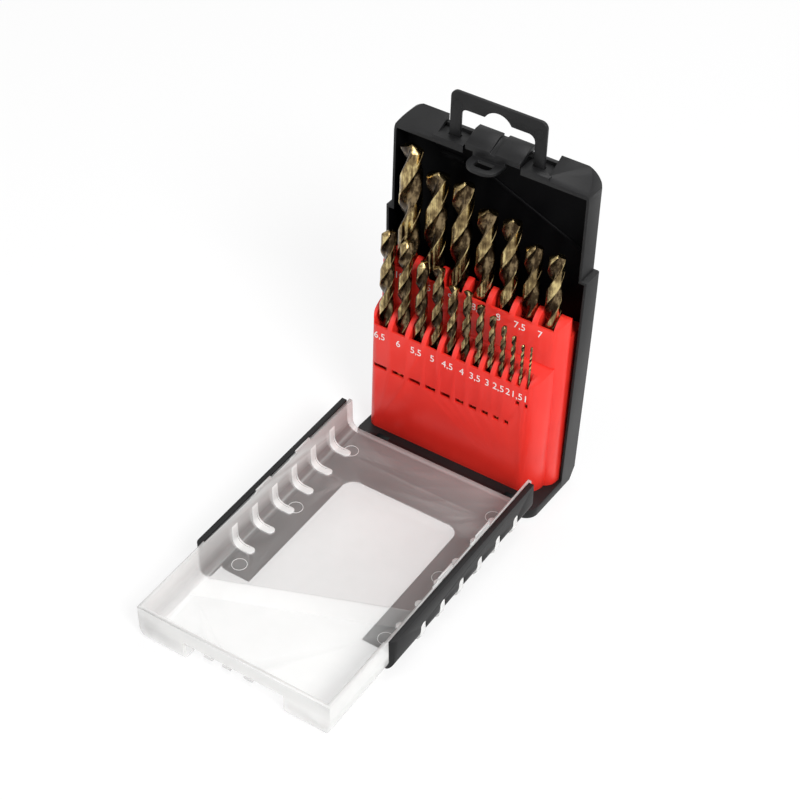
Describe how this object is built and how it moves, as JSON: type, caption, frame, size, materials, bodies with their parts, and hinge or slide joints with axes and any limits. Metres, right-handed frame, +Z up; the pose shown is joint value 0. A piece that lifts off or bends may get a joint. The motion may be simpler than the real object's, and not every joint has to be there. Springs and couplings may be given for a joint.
{
  "type": "drill bit case",
  "caption": "Upright plastic case for twist drills with a clear drop-down lid, an insert in two steps, a latch and a pull-up hanger.",
  "frame": {"origin": "middle of the standing face under the foot plate, where the case's centre line meets the floor below the hinge side of the shell", "axes": "+X to the right seen from the front, +Y from the opened lid to the back of the shell, +Z up along the drills"},
  "size_m": [0.0966, 0.1846, 0.173],
  "materials": {
    "shell_black": "fine-grained matt",
    "frame_black": "satin",
    "tray_red": "satin",
    "lid_clear": "milky, half see-through",
    "drill_steel": "bronze temper colour, ground"
  },
  "bodies": {
    "case": {"base_shell": "shell_black", "drill_tray": "tray_red"},
    "lid": {"lid_panel": "lid_clear", "lid_frame": "frame_black"},
    "hanger": {"hanger": "shell_black"},
    "latch": {"latch": "shell_black"},
    "drill_10_0": {"drill_10_0": "drill_steel"},
    "drill_9_5": {"drill_9_5": "drill_steel"},
    "drill_9_0": {"drill_9_0": "drill_steel"},
    "drill_8_5": {"drill_8_5": "drill_steel"},
    "drill_8_0": {"drill_8_0": "drill_steel"},
    "drill_7_5": {"drill_7_5": "drill_steel"},
    "drill_7_0": {"drill_7_0": "drill_steel"},
    "drill_6_5": {"drill_6_5": "drill_steel"},
    "drill_6_0": {"drill_6_0": "drill_steel"},
    "drill_5_5": {"drill_5_5": "drill_steel"},
    "drill_5_0": {"drill_5_0": "drill_steel"},
    "drill_4_5": {"drill_4_5": "drill_steel"},
    "drill_4_0": {"drill_4_0": "drill_steel"},
    "drill_3_5": {"drill_3_5": "drill_steel"},
    "drill_3_0": {"drill_3_0": "drill_steel"},
    "drill_2_5": {"drill_2_5": "drill_steel"},
    "drill_2_0": {"drill_2_0": "drill_steel"},
    "drill_1_5": {"drill_1_5": "drill_steel"},
    "drill_1_0": {"drill_1_0": "drill_steel"}
  },
  "joints": [
    {"name": "lid_hinge", "type": "hinge", "parent": "case", "child": "lid", "pos_m": [0, -0.01647, 0.003], "axis": [1, 0, 0], "range_deg": [-93.31, 0]},
    {"name": "hanger_slide", "type": "slide", "parent": "case", "child": "hanger", "axis": [0, 0, 1], "range_m": [-0.008, 0]},
    {"name": "latch_flex", "type": "hinge", "parent": "case", "child": "latch", "pos_m": [0, 0.018, 0.1543], "axis": [1, 0, 0], "range_deg": [0, 3], "stiffness_Nm_per_rad": 1.5},
    {"name": "drill_10_0_lift", "type": "slide", "parent": "case", "child": "drill_10_0", "axis": [0, 0, 1], "range_m": [0, 0.0032]},
    {"name": "drill_9_5_lift", "type": "slide", "parent": "case", "child": "drill_9_5", "axis": [0, 0, 1], "range_m": [0, 0.0112]},
    {"name": "drill_9_0_lift", "type": "slide", "parent": "case", "child": "drill_9_0", "axis": [0, 0, 1], "range_m": [0, 0.009]},
    {"name": "drill_8_5_lift", "type": "slide", "parent": "case", "child": "drill_8_5", "axis": [0, 0, 1], "range_m": [0, 0.017]},
    {"name": "drill_8_0_lift", "type": "slide", "parent": "case", "child": "drill_8_0", "axis": [0, 0, 1], "range_m": [0, 0.0192]},
    {"name": "drill_7_5_lift", "type": "slide", "parent": "case", "child": "drill_7_5", "axis": [0, 0, 1], "range_m": [0, 0.0273]},
    {"name": "drill_7_0_lift", "type": "slide", "parent": "case", "child": "drill_7_0", "axis": [0, 0, 1], "range_m": [0, 0.0273]},
    {"name": "drill_6_5_lift", "type": "slide", "parent": "case", "child": "drill_6_5", "axis": [0, 0, 1], "range_m": [0, 0.056]},
    {"name": "drill_6_0_lift", "type": "slide", "parent": "case", "child": "drill_6_0", "axis": [0, 0, 1], "range_m": [0, 0.05]},
    {"name": "drill_5_5_lift", "type": "slide", "parent": "case", "child": "drill_5_5", "axis": [0, 0, 1], "range_m": [0, 0.056]},
    {"name": "drill_5_0_lift", "type": "slide", "parent": "case", "child": "drill_5_0", "axis": [0, 0, 1], "range_m": [0, 0.048]},
    {"name": "drill_4_5_lift", "type": "slide", "parent": "case", "child": "drill_4_5", "axis": [0, 0, 1], "range_m": [0, 0.048]},
    {"name": "drill_4_0_lift", "type": "slide", "parent": "case", "child": "drill_4_0", "axis": [0, 0, 1], "range_m": [0, 0.042]},
    {"name": "drill_3_5_lift", "type": "slide", "parent": "case", "child": "drill_3_5", "axis": [0, 0, 1], "range_m": [0, 0.042]},
    {"name": "drill_3_0_lift", "type": "slide", "parent": "case", "child": "drill_3_0", "axis": [0, 0, 1], "range_m": [0, 0.035]},
    {"name": "drill_2_5_lift", "type": "slide", "parent": "case", "child": "drill_2_5", "axis": [0, 0, 1], "range_m": [0, 0.034]},
    {"name": "drill_2_0_lift", "type": "slide", "parent": "case", "child": "drill_2_0", "axis": [0, 0, 1], "range_m": [0, 0.028]},
    {"name": "drill_1_5_lift", "type": "slide", "parent": "case", "child": "drill_1_5", "axis": [0, 0, 1], "range_m": [0, 0.022]},
    {"name": "drill_1_0_lift", "type": "slide", "parent": "case", "child": "drill_1_0", "axis": [0, 0, 1], "range_m": [0, 0.015]}
  ]
}
